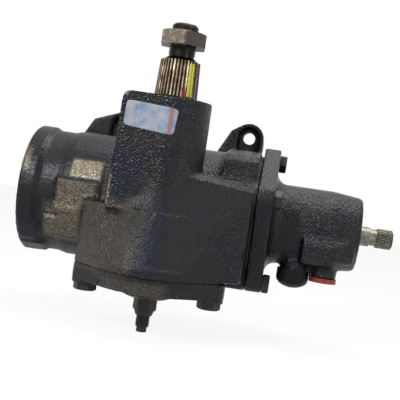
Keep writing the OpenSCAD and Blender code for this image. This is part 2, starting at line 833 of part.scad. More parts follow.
module rack_piston() {
    color(steel) difference() {
        worm_rod(piston_left, piston_right, piston_r);
        rack_cut();
        worm_rod(piston_left - over, plug_x, plug_r);
        worm_rod(plug_x - over, nut_left, clear_bore_r);
        ball_screw(nut_left - 0.5, nut_right, nut_land_r, 1);
        worm_rod(nut_right - 0.5, piston_right + over, clear_bore_r);
        worm_tube(ring_left, ring_right, piston_r + over, piston_r - ring_depth);
        guide_pocket();
    }
}

module piston_ring() {
    color("#5a5247")
        worm_tube(ring_left + 0.1, ring_right - 0.1, bore_r - running_gap, piston_r - ring_depth);
}

module piston_end_plug() {
    color("#77756d") difference() {
        worm_rod(piston_left, plug_x, plug_r);
        worm_frame() translate([-plug_socket / 2, -plug_socket / 2, piston_left - over])
            cube([plug_socket, plug_socket, plug_socket_depth + over]);
    }
}

// Bent tube that takes the balls from one end of the nut's groove back to the other
module ball_return_guide() {
    guide_low = ball_circle + groove_r;
    color(bright_steel) return_frame() difference() {
        union() {
            for (x = [guide_left, guide_right])
                translate([x, 0, guide_low]) cylinder(r = guide_r, h = guide_line - guide_low);
            for (x = [guide_left, guide_right]) translate([x, 0, guide_line]) sphere(r = guide_r);
            translate([guide_left, 0, guide_line]) rotate([0, 90, 0])
                cylinder(r = guide_r, h = 2 * worm_lead);
        }
        for (x = [guide_left, guide_right])
            translate([x, 0, ball_circle]) cylinder(r = ball_r + 0.3, h = guide_line - ball_circle);
        for (x = [guide_left, guide_right]) translate([x, 0, guide_line]) sphere(r = ball_r + 0.3);
        translate([guide_left, 0, guide_line]) rotate([0, 90, 0])
            cylinder(r = ball_r + 0.3, h = 2 * worm_lead);
    }
}

module ball_guide_clamp() {
    color(steel) return_frame() difference() {
        translate([clamp_mid - clamp_len / 2 + 0.5, -clamp_half, clamp_low])
            cube([clamp_len - 1, 2 * clamp_half, clamp_t]);
        for (y = [-1, 1]) translate([clamp_mid, y * clamp_screw_y, clamp_low - over])
            cylinder(r = 2.2, h = 5);
    }
}

module ball_guide_screws() {
    color("#55534d") return_frame() for (y = [-1, 1])
        translate([clamp_mid, y * clamp_screw_y, clamp_low + clamp_t]) {
            translate([0, 0, -10]) cylinder(r = 2, h = 10);
            cylinder(r = 3.2, h = 1.8);
        }
}

// Balls along the two working turns of the nut
module nut_balls() {
    count = floor(2 * PI * 2 * ball_circle / (2 * ball_r + 0.35));
    color(bright_steel) worm_frame() for (i = [0:count - 1])
        let (x = guide_left + 2 * worm_lead * (i + 0.5) / count)
            rotate(helix_turn(x)) translate([ball_circle + 0.15, 0, x]) sphere(r = ball_r, $fn = 24);
}

module worm() {
    color(steel) difference() {
        union() {
            ball_screw(worm_left, worm_thread_end, worm_r, -1);
            worm_rod(worm_thread_end - 0.5, bearing_left, ball_circle - groove_r - 0.2);
            worm_rod(bearing_left - 5, bearing_left, shoulder_r);
            worm_rod(bearing_left - over, bearing_right + over, bearing_seat_r);
            worm_rod(bearing_right, hub_right, hub_out_r);
        }
        worm_rod(bar_left, sleeve_left + over, bar_end_r);
        worm_frame() translate([0, 0, sleeve_left]) linear_extrude(20) intersection() {
            circle(r = slot_r);
            square([2 * slot_half, 40], center = true);
        }
        worm_frame() translate([0, 0, bar_pin_x]) rotate([90, 0, 0])
            cylinder(r = pin_r, h = 60, center = true);
        worm_frame() translate([0, 0, sleeve_left + 4]) rotate([0, 90, 0]) cylinder(r = pin_r, h = 60);
    }
}

module worm_bearing_inner() {
    color(bright_steel) difference() {
        worm_tube(bearing_left, bearing_right, race_in_r, bearing_seat_r);
        worm_frame() translate([0, 0, (bearing_left + bearing_right) / 2])
            rotate_extrude() translate([bearing_circle, 0]) circle(r = bearing_groove_r);
    }
}

module worm_bearing_outer() {
    color(bright_steel) difference() {
        worm_tube(bearing_left, bearing_right, bearing_out_r, race_out_r);
        worm_frame() translate([0, 0, (bearing_left + bearing_right) / 2])
            rotate_extrude() translate([bearing_circle, 0]) circle(r = bearing_groove_r);
    }
}

module worm_bearing_balls() {
    count = 13;
    ball_place = bearing_circle + bearing_groove_r - bearing_ball_r;
    color(bright_steel) worm_frame() for (i = [1:count])
        rotate(360 / count * i) translate([ball_place, 0, (bearing_left + bearing_right) / 2])
            sphere(r = bearing_ball_r, $fn = 24);
}

module worm_race_nut() {
    color(steel) difference() {
        worm_tube(joint_x + 0.4, bearing_left, bearing_out_r, race_nut_r);
        worm_frame() for (a = [0:90:270])
            rotate(a) translate([race_nut_r - 2.5, -2.5, joint_x - over]) cube([5, 5, 3]);
    }
}

module valve_sleeve() {
    color("#9b9a92") difference() {
        worm_rod(sleeve_left, sleeve_right, sleeve_r);
        worm_rod(sleeve_left - over, hub_right + 0.5, hub_out_r);
        worm_rod(hub_right - over, sleeve_right + over, spool_r + running_gap);
        for (x = ring_places) worm_tube(x - 1.5, x + 1.5, sleeve_r + over, sleeve_r - 1.5);
        for (x = port_places) worm_tube(x - 3, x + 3, sleeve_r + over, sleeve_r - 1.8);
        worm_frame() for (x = port_places, a = [0:90:270])
            translate([0, 0, x]) rotate([0, 90, a]) cylinder(r = 1.8, h = 30);
        worm_frame() translate([0, 0, sleeve_left + 4]) rotate([0, 90, 0]) cylinder(r = pin_r, h = 60);
    }
}

module valve_sleeve_rings() {
    color("#3d3b36") for (x = ring_places)
        worm_tube(x - 1.45, x + 1.45, valve_bore_r - running_gap, sleeve_r - 1.5);
}

module sleeve_drive_pin() {
    color(bright_steel) worm_frame() translate([0, 0, sleeve_left + 4]) rotate([0, 90, 0])
        translate([0, 0, slot_r + 0.5]) cylinder(r = pin_r, h = sleeve_r - slot_r - 1);
}

module torsion_bar() {
    color(steel) difference() {
        union() {
            worm_rod(bar_left, bar_left + 20, bar_end_r);
            worm_rod(bar_left + 19, groove_left - 3, bar_mid_r);
            worm_rod(groove_left - 4, input_tip_x - 3, bar_end_r);
        }
        worm_frame() translate([0, 0, bar_pin_x]) rotate([90, 0, 0])
            cylinder(r = pin_r, h = 60, center = true);
        worm_frame() translate([0, 0, (groove_left + groove_right) / 2]) rotate([90, 0, 0])
            cylinder(r = pin_r + 0.7, h = 60, center = true);
    }
}

module torsion_bar_pin() {
    color(bright_steel) worm_frame() translate([0, 0, bar_pin_x]) rotate([90, 0, 0])
        cylinder(r = pin_r, h = 2 * (ball_circle - groove_r) - 1, center = true);
}

module input_shaft() {
    color("#8f8c7c") difference() {
        union() {
            worm_frame() translate([-tang_half, -tang_reach, sleeve_left + 1])
                cube([2 * tang_half, 2 * tang_reach, spool_left - sleeve_left - 0.5]);
            worm_rod(spool_left, spool_right, spool_r);
            worm_rod(spool_right - over, journal_x, 11);
            worm_rod(journal_x - over, input_bearing_right + 0.5, input_journal_r);
            worm_rod(input_bearing_right, groove_left, input_r - 0.1);
            worm_rod(groove_left - over, groove_right + over, groove_bottom_r);
            worm_frame() translate([0, 0, groove_right]) linear_extrude(input_tip_x - 1 - groove_right)
                serrations(input_r, 0.55, input_serrations);
            worm_frame() translate([0, 0, input_tip_x - 1.1])
                cylinder(r1 = input_r - 0.8, r2 = input_r - 1.8, h = 1.1);
        }
        worm_rod(sleeve_left, input_tip_x + over, bar_end_r + running_gap);
        worm_frame() for (a = [0:60:300]) rotate(a)
            translate([spool_r - 1.5, -2, spool_left + 6]) cube([5, 4, spool_right - spool_left - 12]);
        worm_frame() translate([0, 0, (groove_left + groove_right) / 2]) rotate([90, 0, 0])
            cylinder(r = pin_r, h = 60, center = true);
    }
}

module input_shaft_pin() {
    color(bright_steel) worm_frame() translate([0, 0, (groove_left + groove_right) / 2]) rotate([90, 0, 0])
        cylinder(r = pin_r, h = 2 * groove_bottom_r - 0.6, center = true);
}

module input_bearing() {
    color(steel) worm_tube(end_bore_x, input_bearing_right, end_bore_r, input_journal_r + running_gap);
}

module input_shaft_seal() {
    color(rubber) worm_tube(input_seal_left, input_seal_right, end_bore_r, input_r - 0.1 + running_gap);
}

module input_seal_ring() {
    color(steel) worm_frame() translate([0, 0, input_ring_x + 0.1]) rotate(40)
        split_ring(1.8, end_bore_r + 1.1, end_bore_r - 3, 8);
}

// Brass seats at the tops of the ports, with a cone for the pipe's flare
module port_seats() {
    color(bronze) for (x = [return_port_x, pressure_port_x]) translate([x, port_y, worm_z + port_top])
        difference() {
            union() {
                translate([0, 0, -seat_h]) cylinder(r = port_r, h = seat_h);
                translate([0, 0, -seat_h - 3]) cylinder(r1 = 4, r2 = 7, h = 3.1);
            }
            translate([0, 0, -20]) cylinder(r = 2.6, h = 30);
        }
}

module pressure_port_plug() {
    color("#b5382a") translate([pressure_port_x, port_y, worm_z + pressure_low]) {
        translate([0, 0, -4.5]) cylinder(r = 13.2, h = 4.5);
        difference() {
            translate([0, 0, -0.5]) cylinder(r = port_r, h = 11.5);
            cylinder(r = port_r - 1.6, h = 20);
        }
    }
}

// Soft cap pushed over the return port's boss, with a domed end
module return_port_cap() {
    cap_r = return_boss_r + 2.5;
    dome = 9;
    color("#1a1a1c") translate([return_port_x, port_y, worm_z + return_low - 3]) difference() {
        rotate_extrude() polygon(concat([[0, 9], [cap_r, 9]],
            [for (i = [0:8]) [cap_r * cos(90 * i / 8), -dome * sin(90 * i / 8)]]));
        translate([0, 0, 3]) cylinder(r = return_boss_r, h = 20);
    }
}

main_housing();
valve_housing();
sector_cover();
sector_cover_oring();
sector_cover_bolts();
valve_housing_bolts();
valve_housing_oring();
adjuster_locknut();
lash_adjuster();
adjuster_retainer();
end_plug();
end_plug_oring();
end_plug_ring();
sector_bearing_cup();
sector_bearing_needles();
sector_shaft_seal();
sector_dust_seal();
sector_seal_ring();
sector_cover_bush();
sector_shaft();
pitman_nut();
rack_piston();
piston_ring();
piston_end_plug();
ball_return_guide();
ball_guide_clamp();
ball_guide_screws();
nut_balls();
worm();
worm_bearing_inner();
worm_bearing_outer();
worm_bearing_balls();
worm_race_nut();
valve_sleeve();
valve_sleeve_rings();
sleeve_drive_pin();
torsion_bar();
torsion_bar_pin();
input_shaft();
input_shaft_pin();
input_bearing();
input_shaft_seal();
input_seal_ring();
port_seats();
pressure_port_plug();
return_port_cap();
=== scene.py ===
"""Steering gearbox of the recirculating-ball kind, dressed for a studio picture."""

import bmesh
import bpy
import numpy as np
from mathutils import Matrix, Vector


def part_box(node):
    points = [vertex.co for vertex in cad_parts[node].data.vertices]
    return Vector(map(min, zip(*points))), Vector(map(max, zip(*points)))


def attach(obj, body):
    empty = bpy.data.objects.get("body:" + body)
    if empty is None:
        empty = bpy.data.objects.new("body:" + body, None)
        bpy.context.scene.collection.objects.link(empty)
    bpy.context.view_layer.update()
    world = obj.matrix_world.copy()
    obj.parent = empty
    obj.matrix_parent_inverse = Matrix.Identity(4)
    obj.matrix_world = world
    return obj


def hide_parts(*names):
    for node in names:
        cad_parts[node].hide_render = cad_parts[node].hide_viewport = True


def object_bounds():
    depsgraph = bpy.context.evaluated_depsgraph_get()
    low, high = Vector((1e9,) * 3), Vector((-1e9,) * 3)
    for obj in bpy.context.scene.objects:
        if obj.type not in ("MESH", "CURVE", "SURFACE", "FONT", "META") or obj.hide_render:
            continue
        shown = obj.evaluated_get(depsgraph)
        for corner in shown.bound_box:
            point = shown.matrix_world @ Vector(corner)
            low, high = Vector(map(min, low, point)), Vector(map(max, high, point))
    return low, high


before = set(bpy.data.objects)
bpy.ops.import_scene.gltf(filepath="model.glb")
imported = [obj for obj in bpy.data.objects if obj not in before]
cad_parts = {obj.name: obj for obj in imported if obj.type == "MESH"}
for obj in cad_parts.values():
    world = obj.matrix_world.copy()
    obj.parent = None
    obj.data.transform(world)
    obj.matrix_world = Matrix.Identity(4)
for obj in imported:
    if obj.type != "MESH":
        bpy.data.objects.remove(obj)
cad_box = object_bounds()

# Main housing: one sand casting in grey iron that holds the rack piston and the sector shaft.
# It is sprayed with semi-gloss black paint, which has rubbed off the pads, the corners and one flank.
# The valve housing and the cover are cast and painted the same way.
MM = 0.001
SKIN_KEPT = 0.43  # share of the wrapped skin's triangles that stays
BORE_CATCH_MM = 1.1  # skin this near to a bore goes back on it
SAND_SEED, SAND_WAVES, SAND_MM, SAND_HEIGHT_MM = 7, 40, (4.0, 9.0), 0.07  # relief left by the mould's sand


def linear(hex_colour):
    """sRGB hex to linear colour: c / 12.92 below 0.04045, ((c + 0.055) / 1.055) ** 2.4 above."""
    c = np.array([int(hex_colour[i:i + 2], 16) for i in (1, 3, 5)]) / 255
    return (*np.where(c <= 0.04045, c / 12.92, ((c + 0.055) / 1.055) ** 2.4), 1.0)


def add(tree, kind, inputs, out=0, ramp=(), **settings):
    """One shader node: settings are its own attributes, ramp is a colour ramp's (place, hex colour) stops,
    and inputs are values or the sockets linked to them. Gives back the output called out, or all for None."""
    made = tree.nodes.new("ShaderNode" + kind)
    for key, value in settings.items():
        setattr(made, key, value)
    for _ in ramp[2:]:
        made.color_ramp.elements.new(1.0)
    for i, (place, colour) in enumerate(ramp):
        made.color_ramp.elements[i].position = place
        made.color_ramp.elements[i].color = linear(colour)
    for key, value in inputs.items():
        if isinstance(value, bpy.types.NodeSocket):
            tree.links.new(value, made.inputs[key])
        else:
            made.inputs[key].default_value = value
    return made.outputs if out is None else made.outputs[out]


def new_material(name):
    """A material with its node tree, its surface shader and the Object coordinates that its patterns read."""
    material = bpy.data.materials.new(name)
    material.use_nodes = True
    tree = material.node_tree
    return material, tree, tree.nodes["Principled BSDF"], add(tree, "TexCoord", {}, out="Object")


def finish(tree, **sockets):
    """Links sockets to the surface shader's inputs, named with an underscore for each space."""
    shader = tree.nodes["Principled BSDF"]
    for key, socket in sockets.items():
        tree.links.new(socket, shader.inputs[key.replace("_", " ")])


def patch(tree, where, noise, centre_mm, half_mm, ragged, tilt=0.0):
    """Ragged patch: 1 inside a box, tilted about X, whose edge is pushed in and out by a noise. The distance
    is the largest of the box's three coordinates, each counted in half sizes from its centre."""
    moved = add(tree, "Mapping", {"Vector": where, "Location": [c * MM for c in centre_mm],
                                  "Rotation": (np.radians(tilt), 0, 0), "Scale": [h * MM for h in half_mm]},
                vector_type="TEXTURE")
    sides = add(tree, "VectorMath", {0: moved}, operation="ABSOLUTE")
    x, y, z = add(tree, "SeparateXYZ", {0: sides}, out=None)
    far = add(tree, "Math", {0: x, 1: y}, operation="MAXIMUM")
    far = add(tree, "Math", {0: far, 1: z}, operation="MAXIMUM")
    pushed = add(tree, "Math", {0: noise, 1: ragged, 2: far}, operation="MULTIPLY_ADD")
    return add(tree, "MapRange", {"Value": pushed, "From Min": 1.0 + ragged * 0.62,
                                  "From Max": 0.9 + ragged * 0.4}, interpolation_type="SMOOTHSTEP")


def wrapped(node, voxel_mm, fillet_mm):
    """Voxel skin of a node's solid. The solid's triangles are merged and wrapped, the skin is swollen by
    the fillet's radius, wrapped again and drawn back, which rounds every inner corner, and a light
    smoothing rounds the outer ones. The skin's triangles are then thinned."""
    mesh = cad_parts[node].data.copy()
    merged = bmesh.new()
    merged.from_mesh(mesh)
    bmesh.ops.remove_doubles(merged, verts=merged.verts, dist=1e-3 * MM)
    merged.to_mesh(mesh)
    merged.free()
    rough = bpy.data.objects.new(node + "_rough", mesh)
    bpy.context.collection.objects.link(rough)
    for swell in (fillet_mm, -fillet_mm):
        wrap = rough.modifiers.new("wrap", "REMESH")
        wrap.mode, wrap.voxel_size = "VOXEL", voxel_mm * MM
        push = rough.modifiers.new("push", "DISPLACE")
        push.strength, push.mid_level = swell * MM, 0.0
    soften = rough.modifiers.new("soften", "SMOOTH")
    soften.factor, soften.iterations = 0.5, 3
    thin = rough.modifiers.new("thin", "DECIMATE")
    thin.ratio = SKIN_KEPT
    seen = rough.evaluated_get(bpy.context.evaluated_depsgraph_get())
    skin = bpy.data.meshes.new_from_object(seen)
    bpy.data.objects.remove(rough)
    bpy.data.meshes.remove(mesh)
    return skin


def seat_bore(points, centre, axis, radius):
    """Puts skin that is close to a bore back on its radius. centre is a point on the axis; sizes are in mm."""
    out = points - np.array(centre) * MM
    out -= np.outer(out @ np.array(axis), axis)
    far = np.linalg.norm(out, axis=1)
    near = np.abs(far - radius * MM) < BORE_CATCH_MM * MM
    points[near] += out[near] * ((radius * MM / far[near]) - 1)[:, None]


def clear_sweep(points, centre, axis, radius, low, high, flat, deep):
    """Takes skin out of the room that a turning part needs, a slice of a cylinder, with sizes in mm. Skin
    inside the radius, between two places along the axis and up to a depth beyond a flat through it, goes out
    to the round or to the flat, whichever is nearer."""
    out = points - np.array(centre) * MM
    along = out @ np.array(axis)
    out -= np.outer(along, axis)
    far, side = np.linalg.norm(out, axis=1), out @ np.array(flat)
    inside = (along > low * MM) & (along < high * MM) & (far < radius * MM)
    inside &= (side > 0) & (side < deep * MM)
    rounded = inside & (radius * MM - far < side)
    points[rounded] += out[rounded] * ((radius * MM / far[rounded]) - 1)[:, None]
    points[inside & ~rounded] -= np.outer(side[inside & ~rounded], flat)


def corner_heights(skin, points, normals, reach):
    """Height of each point over the mean of its neighbours, in mm: high on outer corners, negative in inner
    ones. Where the neighbours' mean distance is past the reach, it falls with the square of that distance."""
    ends = np.empty(2 * len(skin.edges), int)
    skin.edges.foreach_get("vertices", ends)
    ends = ends.reshape(-1, 2)
    mean, count, apart = np.zeros_like(points), np.zeros(len(points)), np.zeros(len(points))
    for a, b in ((0, 1), (1, 0)):
        np.add.at(mean, ends[:, a], points[ends[:, b]])
        np.add.at(count, ends[:, a], 1)
        np.add.at(apart, ends[:, a], np.linalg.norm(points[ends[:, b]] - points[ends[:, a]], axis=1))
    height = ((points - mean / count[:, None]) * normals).sum(1) / MM
    return height * np.minimum(1, reach * count / apart) ** 2


def cast_skin(node, voxel_mm, fillet_mm, bores, ledges=(), sweeps=()):
    """A casting's own surface, made from its solid's voxel skin.

    The mould's sand lifts each point by a sum of plane waves with seeded directions, lengths and phases.
    ledges lists (centre, half sizes, fades, height) in mm: skin that faces the front is lifted inside a
    box, by the height times, for each axis, the depth below the box's face counted in fades and held
    between 0 and 1.
    bores and sweeps list what seat_bore and clear_sweep take. The attribute "edge" keeps the corner heights.
    """
    skin = wrapped(node, voxel_mm, fillet_mm)
    points = np.empty(3 * len(skin.vertices))
    skin.vertices.foreach_get("co", points)
    points = points.reshape(-1, 3)
    normals = np.empty(3 * len(skin.vertices))
    skin.vertices.foreach_get("normal", normals)
    normals = normals.reshape(-1, 3)
    draw = np.random.default_rng(SAND_SEED)
    turns = draw.normal(size=(3, SAND_WAVES))
    turns *= 2 * np.pi / (draw.uniform(*SAND_MM, SAND_WAVES) * MM * np.linalg.norm(turns, axis=0))
    lumps = np.cos(points @ turns + draw.uniform(0, 2 * np.pi, SAND_WAVES)).sum(1) / np.sqrt(SAND_WAVES / 2)
    points += normals * (lumps * SAND_HEIGHT_MM * MM)[:, None]
    for centre, half, fades, height in ledges:
        depth = (np.array(half) - np.abs(points / MM - centre)) / fades
        lift = np.clip(depth, 0, 1).prod(1) * np.clip(-normals[:, 1], 0, 1) * height
        points += normals * (lift * MM)[:, None]
    for bore in bores:
        seat_bore(points, *bore)
    for sweep in sweeps:
        clear_sweep(points, *sweep)
    skin.vertices.foreach_set("co", points.ravel())
    skin.polygons.foreach_set("use_smooth", np.ones(len(skin.polygons), bool))
    skin.update()
    heights = corner_heights(skin, points, normals, reach=2 * voxel_mm * MM)
    skin.attributes.new("edge", "FLOAT", "POINT").data.foreach_set("value", heights)
    skin.materials.clear()
    return skin


def place(name, mesh, material, body, slot, *replaced):
    """Puts a finished mesh into the scene as a piece that rides on a body."""
    mesh.materials.append(material)
    piece = bpy.data.objects.new(name, mesh)
    bpy.context.collection.objects.link(piece)
    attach(piece, body)
    if replaced:
        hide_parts(*replaced)


# Semi-gloss black enamel over sand-cast iron: the sand's grain shows as glints in every highlight,
# the black leans to blue or brown from place to place, and rubbed spots show khaki, greasy iron.
# The sand's grain is really about 0.5 mm wide, and is drawn 1.5 to 2 mm wide so that it shows.
NAVY_PATCHES_MM = (((-30, -34, -72), (15, 8, 26)),  # front of the boss
                   ((4, -50, -126), (9, 22, 32)),  # middle of the chamber
                   ((77, -8, -142), (10, 14, 10)),  # low corner by the joint
                   ((-120, 16, -141), (14, 24, 12)))  # low side of the rim
enamel, tree, shader, where = new_material("black_enamel_on_cast_iron")
shader.inputs["IOR"].default_value = 1.5
shader.inputs["Specular IOR Level"].default_value = 0.22
clouds = add(tree, "TexNoise", {"Vector": where, "Scale": 1 / (24 * MM), "Detail": 3.0})
sand = add(tree, "TexNoise", {"Vector": where, "Scale": 1 / (1.5 * MM), "Detail": 4.0, "Roughness": 0.6})
grain = add(tree, "TexNoise", {"Vector": where, "Scale": 1 / (1.8 * MM), "Detail": 1.0})
chips = add(tree, "TexNoise", {"Vector": where, "Scale": 1 / (2 * MM), "Detail": 5.0, "Roughness": 0.75})
black = add(tree, "ValToRGB", {"Fac": clouds}, ramp=((0.36, "#0c0e17"), (0.5, "#111113"), (0.64, "#161512")))
for centre, half in NAVY_PATCHES_MM:
    navy = patch(tree, where, clouds, centre, half, 0.7)
    black = add(tree, "Mix", {"Factor": navy, 6: black, 7: linear("#0c0f1b")}, out=2, data_type="RGBA")
sandy = add(tree, "MapRange", {"Value": sand, "From Min": 0.38, "From Max": 0.66, "To Min": 0.2},
            interpolation_type="SMOOTHSTEP")

# Brown dust and rubbed paint, and painted light on the cover's dome and the right ear: first the chamber's
# left wing, then smaller places, each with its raggedness and its share of dust and painted light
DUST_AND_LIGHT_MM = (((-52, 2, -92), (9, 24, 24), 0.8, 1.0),  # flank by the boss
             ((-92, 12, -128), (20, 18, 20), 1.0, 1.0),  # barrel's low side
             ((-6, -40, -174), (30, 30, 11), 1.0, 1.0),  # cover's dome: painted light
             ((60, 122, -18), (28, 20, 22), 0.3, 0.8))  # right ear: painted light on its face
dust_and_light_mask = patch(tree, where, clouds, (-44, -16, -130), (30, 44, 34), 1.0)
for centre, half, ragged, share in DUST_AND_LIGHT_MM:
    spot = patch(tree, where, chips, centre, half, ragged)
    spot = add(tree, "Math", {0: spot, 1: share}, operation="MULTIPLY")
    dust_and_light_mask = add(tree, "Math", {0: dust_and_light_mask, 1: spot}, operation="MAXIMUM")
dust_and_light = add(tree, "Math", {0: dust_and_light_mask, 1: sandy}, operation="MULTIPLY")
coat = add(tree, "Mix", {"Factor": dust_and_light, 6: black, 7: linear("#453f37")}, out=2, data_type="RGBA")

# Bare iron: chips along the outer corners, found by the skin's own height, and rubbed places, each with its
# raggedness, its tilt about X in degrees and its share of bare iron
RUBBED_MM = (((-75, 13.4, -74.8), (15, 5, 9.5), 0.5, -24, 1.0),  # barrel's upper pad
             ((-81, 7, -101), (19, 5, 14), 0.7, 1, 0.55),  # middle pad
             ((-89, 9, -113), (13, 8, 4.5), 1.3, 15, 1.0),  # line of flecks under it
             ((-44, -32, -88), (2, 8, 11), 2.6, 0, 0.9),  # left edge of the boss
             ((-92, 12, -129), (17, 12, 13), 0.4, 0, 0.35),  # lower pad
             ((-134, 20, -72), (4, 20, 11), 2.6, 0, 0.6),  # edge of the rim
             ((-41, -33, -2), (4, 9, 2.5), 2.0, 0, 0.7))  # top left corner of the boss
edge = add(tree, "Attribute", {}, out="Fac", attribute_name="edge")
corner = add(tree, "MapRange", {"Value": edge, "From Min": 0.12, "From Max": 0.28},
             interpolation_type="SMOOTHSTEP")
chipped = add(tree, "MapRange", {"Value": chips, "From Min": 0.5, "From Max": 0.66},
              interpolation_type="SMOOTHSTEP")
bare = add(tree, "Math", {0: corner, 1: chipped}, operation="MULTIPLY")
for centre, half, ragged, tilt, share in RUBBED_MM:
    spot = patch(tree, where, chips, centre, half, ragged, tilt)
    spot = add(tree, "Math", {0: spot, 1: share}, operation="MULTIPLY")
    bare = add(tree, "Math", {0: bare, 1: spot}, operation="MAXIMUM")
iron = add(tree, "ValToRGB", {"Fac": sand}, ramp=((0.36, "#464135"), (0.5, "#665f50"), (0.66, "#968c76")))

# The chamber's front is duller and calmer than the rest, and the barrel came smoother out of its mould.
# Inner corners are darkened towards black: painted shade, with the dirt that gathers there.
BARREL_MM = (-62, -46)  # X where the smooth barrel ends and where the full grain starts
gloss = add(tree, "MapRange", {"Value": clouds, "From Min": 0.3, "From Max": 0.7,
                               "To Min": 0.22, "To Max": 0.36})
dull = patch(tree, where, clouds, (10, -45, -122), (38, 40, 46), 0.6)
gloss = add(tree, "Math", {0: dull, 1: 0.16, 2: gloss}, operation="MULTIPLY_ADD")
along = add(tree, "SeparateXYZ", {0: where}, out="X")
cast = add(tree, "MapRange", {"Value": along, "From Min": BARREL_MM[0] * MM, "From Max": BARREL_MM[1] * MM,
                              "To Min": 0.3})
soft = add(tree, "MapRange", {"Value": cast, "From Min": 0.3, "To Min": 0.12, "To Max": 0.0})
calm = add(tree, "MapRange", {"Value": dull, "To Min": 1.0, "To Max": 0.6})
cast = add(tree, "Math", {0: cast, 1: calm}, operation="MULTIPLY")
gloss = add(tree, "Math", {0: gloss, 1: soft}, operation="ADD")
# Painted shade, with dirt, darkens the inner corners towards black
corner_shade_and_dirt = add(tree, "MapRange", {"Value": edge, "From Min": -0.06, "From Max": -0.25},
             interpolation_type="SMOOTHSTEP")
colour = add(tree, "Mix", {"Factor": bare, 6: coat, 7: iron}, out=2, data_type="RGBA")
colour = add(tree, "Mix", {"Factor": corner_shade_and_dirt, 6: colour, 7: linear("#060607")}, out=2, data_type="RGBA")
finish(tree, Base_Color=colour, Roughness=gloss,
       Metallic=add(tree, "Math", {0: bare, 1: 0.3}, operation="MULTIPLY"),
       Normal=add(tree, "Bump", {"Height": grain, "Strength": cast, "Distance": 1.1 * MM}))

# The bores are the piston's, the end plug's seat and the sector bearing's. The chamber's front stands proud
# below its shoulder line, and the panel to its right is hollowed. The sweep keeps the skin clear of the
# sector's teeth.
WORM_AXIS = ((0, 70, -100), (1, 0, 0))
SECTOR_AXIS = ((0, 0, 0), (0, 0, 1))
HOUSING_BORES = ((*WORM_AXIS, 46.0), (*WORM_AXIS, 48.5), (*SECTOR_AXIS, 26.0))
HOUSING_LEDGES = (((8, -40, -140), (42, 30, 37.5), (18, 8, 0.9), 1.6),
                  ((65, -20, -92), (25, 26, 36), (6, 8, 1.2), -1.4))
SECTOR_SWEEP = ((0, -1.4, 0), (0, 0, 1), 46.6, -150.0, -74.4, (0, 1, 0), 15.2)
place("housing_casting", cast_skin("main_housing", voxel_mm=1.2, fillet_mm=3.5, bores=HOUSING_BORES,
                                   ledges=HOUSING_LEDGES, sweeps=(SECTOR_SWEEP,)),
      enamel, "gear_case", "cast_paint", "main_housing")

# Valve housing: a second iron casting, bolted on the end of the first, that surrounds the rotary valve.
# It carries the two pipe ports on a block under its front, and wears the same black enamel.
# Its bores are the worm bearing's, the valve sleeve's and the input bearing's.
VALVE_BORES = ((*WORM_AXIS, 31.0), (*WORM_AXIS, 22.2), (*WORM_AXIS, 16.0))
place("valve_casting", cast_skin("valve_housing", voxel_mm=1.1, fillet_mm=3.5, bores=VALVE_BORES),
      enamel, "gear_case", "cast_paint", "valve_housing")

# Sector cover: a cast iron plate with a domed middle, held under the housing by two bolts.
# It wears the same black enamel, and its bore takes the sector shaft's lower bush.
COVER_BORES = ((*SECTOR_AXIS, 23.0),)
place("cover_casting", cast_skin("sector_cover", voxel_mm=1.0, fillet_mm=2.5, bores=COVER_BORES),
      enamel, "gear_case", "cast_paint", "sector_cover")

# Bolts, end plug, adjuster and its locknut: rolled and turned steel parts that close the case.
# Black oxide is thin and matt, a little browner than the enamel, with paler smears where it was rubbed.


def dress(material, *names):
    """Gives CAD nodes that keep their own shape a finish."""
    for name in names:
        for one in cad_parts[name].material_slots:
            one.material = material


blackened, tree, shader, where = new_material("black_oxide_steel")
shader.inputs["Metallic"].default_value = 0.3
smear = add(tree, "TexNoise", {"Vector": where, "Scale": 1 / (2.5 * MM), "Detail": 4.0})
pits = add(tree, "TexNoise", {"Vector": where, "Scale": 1 / (1.2 * MM)})
oxide = add(tree, "ValToRGB", {"Fac": smear}, ramp=((0.36, "#0f0f11"), (0.55, "#151517"), (0.75, "#2d2a27")))
finish(tree, Base_Color=oxide,
       Roughness=add(tree, "MapRange", {"Value": smear, "To Min": 0.42, "To Max": 0.62}),
       Normal=add(tree, "Bump", {"Height": pits, "Strength": 0.25, "Distance": 0.3 * MM}))
dress(blackened, "sector_cover_bolts", "valve_housing_bolts", "end_plug", "adjuster_locknut", "lash_adjuster")

# Sector shaft: forged and ground steel that carries the steering arm on 36 tapered serrations.
# Storage oil has browned it to bronze, with a painted highlight on its crests and painted shade in its
# grooves, and its stud is left black.
# Yellow-green marking paint runs down the serrations, with rust at its foot and painted shade on the steel to
# its right.

# Turns in radians from the front, and heights along Z
STROKE_TURN, STROKE_MM = (0.62, 1.0), (3.0, 33.0)  # where the paint starts and ends
RUST_TURN, RUST_MM = (0.40, 0.68), (16, 7)  # where it starts and ends, heights where it sets in and is full
SHADE_TURN = (0.98, 1.04, 1.52, 2.32)  # the painted shade on the right starts, is full, starts to fade, is gone
WANDER = 0.16  # turn over which the edges of all three wander
SERRATION_TOP_MM, SERRATION_TAPER = 19.85, 1.5 / 33  # radius where the crests' painted highlight is full at height 0, and its fall
SERRATION_HIGHLIGHT_MM = 0.55  # depth below it over which the painted highlight gives way to the grooves' painted shade
STUD_MM = (36, 38)  # heights between which the steel turns black
THREAD_ROWS, THREAD_COLUMNS = 10, 64  # of a thread's mesh, in a pitch and round it


